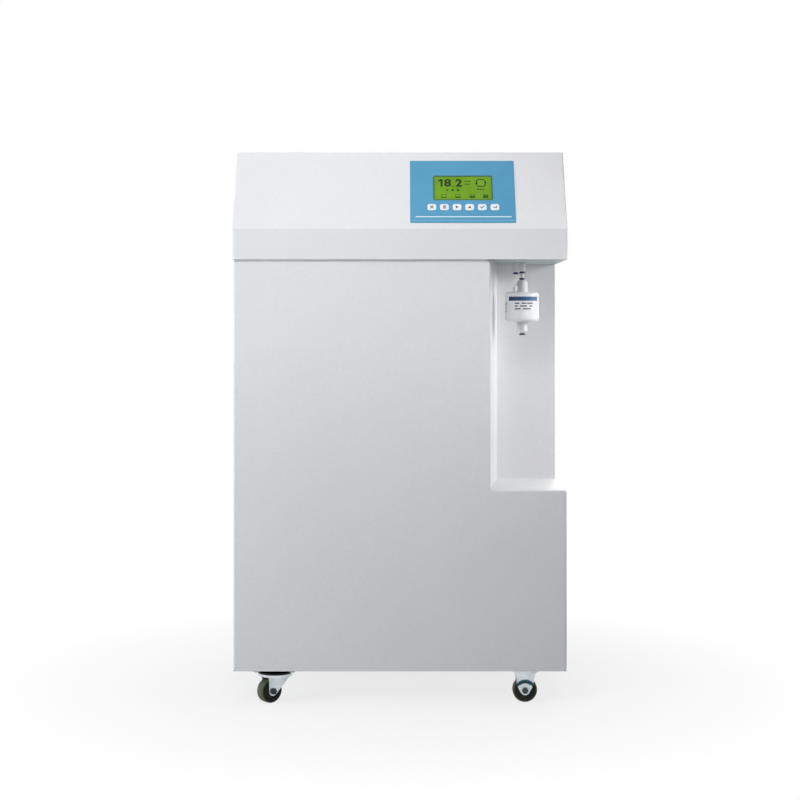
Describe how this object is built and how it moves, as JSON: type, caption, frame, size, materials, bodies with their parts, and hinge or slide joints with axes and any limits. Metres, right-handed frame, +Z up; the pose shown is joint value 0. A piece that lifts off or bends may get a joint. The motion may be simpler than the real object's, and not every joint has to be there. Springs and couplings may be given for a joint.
{
  "type": "laboratory water purifier",
  "caption": "Floor-standing laboratory water purifier: steel cabinet on casters, sloping control head, hinged service door and a dispensing bay with a hanging final filter.",
  "frame": {"origin": "on the floor under the middle of the whole part", "axes": "+Z up, the door faces -Y, +X is to the right as seen from the front"},
  "size_m": [0.562, 0.5024, 0.938],
  "materials": {
    "cabinet_white": "fine-textured white powder coat",
    "inner_grey": "grey powder coat",
    "panel_blue": "printed membrane film",
    "display_green": "lit display glass",
    "key_white": "moulded key caps",
    "board_green": "circuit board",
    "fitting_white": "moulded acetal",
    "collet_blue": "navy moulded plastic",
    "capsule_white": "smooth polypropylene",
    "tube_clear": "natural polyethylene tube",
    "zinc_steel": "bright zinc plate",
    "tyre_black": "solid rubber tyre",
    "black_plastic": "black moulded plastic",
    "cartridge_white": "white polypropylene",
    "pump_metal": "cast housing",
    "supply_metal": "folded case"
  },
  "bodies": {
    "cabinet": {"base_pan": "cabinet_white", "left_side_panel": "cabinet_white", "right_side_panel": "cabinet_white", "rear_panel": "cabinet_white", "bay_liner": "cabinet_white", "top_deck": "cabinet_white", "head_cover": "cabinet_white", "mounting_plate": "inner_grey", "keypad_overlay": "panel_blue", "display_module": "display_green", "control_board": "board_green", "filtered_outlet_fitting": "fitting_white", "plain_outlet_fitting": "fitting_white", "feed_fitting": "fitting_white", "drain_fitting": "fitting_white", "tank_fitting": "fitting_white", "internal_tubing": "tube_clear", "front_left_caster_plate": "zinc_steel", "rear_left_caster_plate": "zinc_steel", "front_right_caster_bracket": "zinc_steel", "rear_right_caster_bracket": "zinc_steel", "right_caster_axles": "zinc_steel", "caster_bolts": "zinc_steel", "door_hinge_pins": "zinc_steel", "power_inlet": "black_plastic", "door_catches": "black_plastic", "cartridge_clips": "black_plastic", "sediment_cartridge": "cartridge_white", "carbon_cartridge": "cartridge_white", "deioniser_cartridge": "cartridge_white", "polishing_cartridge": "cartridge_white", "membrane_vessel": "cartridge_white", "booster_pump": "pump_metal", "inlet_valve": "pump_metal", "power_supply": "supply_metal"},
    "door": {"front_door": "cabinet_white", "door_hinge_bushes": "fitting_white"},
    "filter": {"filter_feed_tube": "tube_clear", "filter_inlet_fitting": "fitting_white", "filter_capsule": "capsule_white", "filter_outlet_fitting": "fitting_white"},
    "rocker": {"power_rocker": "black_plastic"},
    "key_escape": {"key_escape": "key_white"},
    "key_menu": {"key_menu": "key_white"},
    "key_right": {"key_right": "key_white"},
    "key_up": {"key_up": "key_white"},
    "key_confirm": {"key_confirm": "key_white"},
    "key_return": {"key_return": "key_white"},
    "filtered_outlet_collet": {"filtered_outlet_collet": "collet_blue"},
    "plain_outlet_collet": {"plain_outlet_collet": "collet_blue"},
    "filter_inlet_collet": {"filter_inlet_collet": "collet_blue"},
    "filter_outlet_collet": {"filter_outlet_collet": "collet_blue"},
    "front_left_fork": {"front_left_caster_fork": "zinc_steel", "front_left_caster_axle": "zinc_steel"},
    "front_left_wheel": {"front_left_caster_wheel": "tyre_black"},
    "front_right_wheel": {"front_right_caster_wheel": "tyre_black"},
    "rear_left_fork": {"rear_left_caster_fork": "zinc_steel", "rear_left_caster_axle": "zinc_steel"},
    "rear_left_wheel": {"rear_left_caster_wheel": "tyre_black"},
    "rear_right_wheel": {"rear_right_caster_wheel": "tyre_black"}
  },
  "joints": [
    {"name": "door_hinge", "type": "hinge", "parent": "cabinet", "child": "door", "pos_m": [-0.272, -0.23725, 0.40475], "axis": [0, 0, -1], "range_deg": [0, 110]},
    {"name": "key_escape_press", "type": "slide", "parent": "cabinet", "child": "key_escape", "axis": [0, 0.8636, -0.5043], "range_m": [0, 0.0005], "stiffness_N_per_m": 1500},
    {"name": "key_menu_press", "type": "slide", "parent": "cabinet", "child": "key_menu", "axis": [0, 0.8636, -0.5043], "range_m": [0, 0.0005], "stiffness_N_per_m": 1500},
    {"name": "key_right_press", "type": "slide", "parent": "cabinet", "child": "key_right", "axis": [0, 0.8636, -0.5043], "range_m": [0, 0.0005], "stiffness_N_per_m": 1500},
    {"name": "key_up_press", "type": "slide", "parent": "cabinet", "child": "key_up", "axis": [0, 0.8636, -0.5043], "range_m": [0, 0.0005], "stiffness_N_per_m": 1500},
    {"name": "key_confirm_press", "type": "slide", "parent": "cabinet", "child": "key_confirm", "axis": [0, 0.8636, -0.5043], "range_m": [0, 0.0005], "stiffness_N_per_m": 1500},
    {"name": "key_return_press", "type": "slide", "parent": "cabinet", "child": "key_return", "axis": [0, 0.8636, -0.5043], "range_m": [0, 0.0005], "stiffness_N_per_m": 1500},
    {"name": "front_left_swivel", "type": "hinge", "parent": "cabinet", "child": "front_left_fork", "pos_m": [-0.212, -0.20925, 0.04955], "axis": [0, 0, 1], "continuous": true},
    {"name": "front_left_roll", "type": "hinge", "parent": "front_left_fork", "child": "front_left_wheel", "pos_m": [-0.22146, -0.21664, 0.0207], "axis": [-0.6157, 0.788, 0], "continuous": true},
    {"name": "front_right_roll", "type": "hinge", "parent": "cabinet", "child": "front_right_wheel", "pos_m": [0.212, -0.20925, 0.0207], "axis": [0, 1, 0], "continuous": true},
    {"name": "rear_left_swivel", "type": "hinge", "parent": "cabinet", "child": "rear_left_fork", "pos_m": [-0.212, 0.19875, 0.04955], "axis": [0, 0, 1], "continuous": true},
    {"name": "rear_left_roll", "type": "hinge", "parent": "rear_left_fork", "child": "rear_left_wheel", "pos_m": [-0.22335, 0.19484, 0.0207], "axis": [-0.3256, 0.9455, 0], "continuous": true},
    {"name": "rear_right_roll", "type": "hinge", "parent": "cabinet", "child": "rear_right_wheel", "pos_m": [0.212, 0.19875, 0.0207], "axis": [0, 1, 0], "continuous": true},
    {"name": "filter_swivel", "type": "hinge", "parent": "cabinet", "child": "filter", "pos_m": [0.213, -0.14025, 0.7335], "axis": [0, 0, 1], "continuous": true},
    {"name": "filtered_outlet_release", "type": "slide", "parent": "cabinet", "child": "filtered_outlet_collet", "axis": [0, 0, 1], "range_m": [0, 0.0012]},
    {"name": "plain_outlet_release", "type": "slide", "parent": "cabinet", "child": "plain_outlet_collet", "axis": [0, 0, 1], "range_m": [0, 0.0012]},
    {"name": "filter_inlet_release", "type": "slide", "parent": "filter", "child": "filter_inlet_collet", "axis": [0, 0, -1], "range_m": [0, 0.0012]},
    {"name": "filter_outlet_release", "type": "slide", "parent": "filter", "child": "filter_outlet_collet", "axis": [0, 0, 1], "range_m": [0, 0.0012]},
    {"name": "power_switch", "type": "hinge", "parent": "cabinet", "child": "rocker", "pos_m": [0.212, 0.23425, 0.163], "axis": [1, 0, 0], "range_deg": [0, 16]}
  ]
}
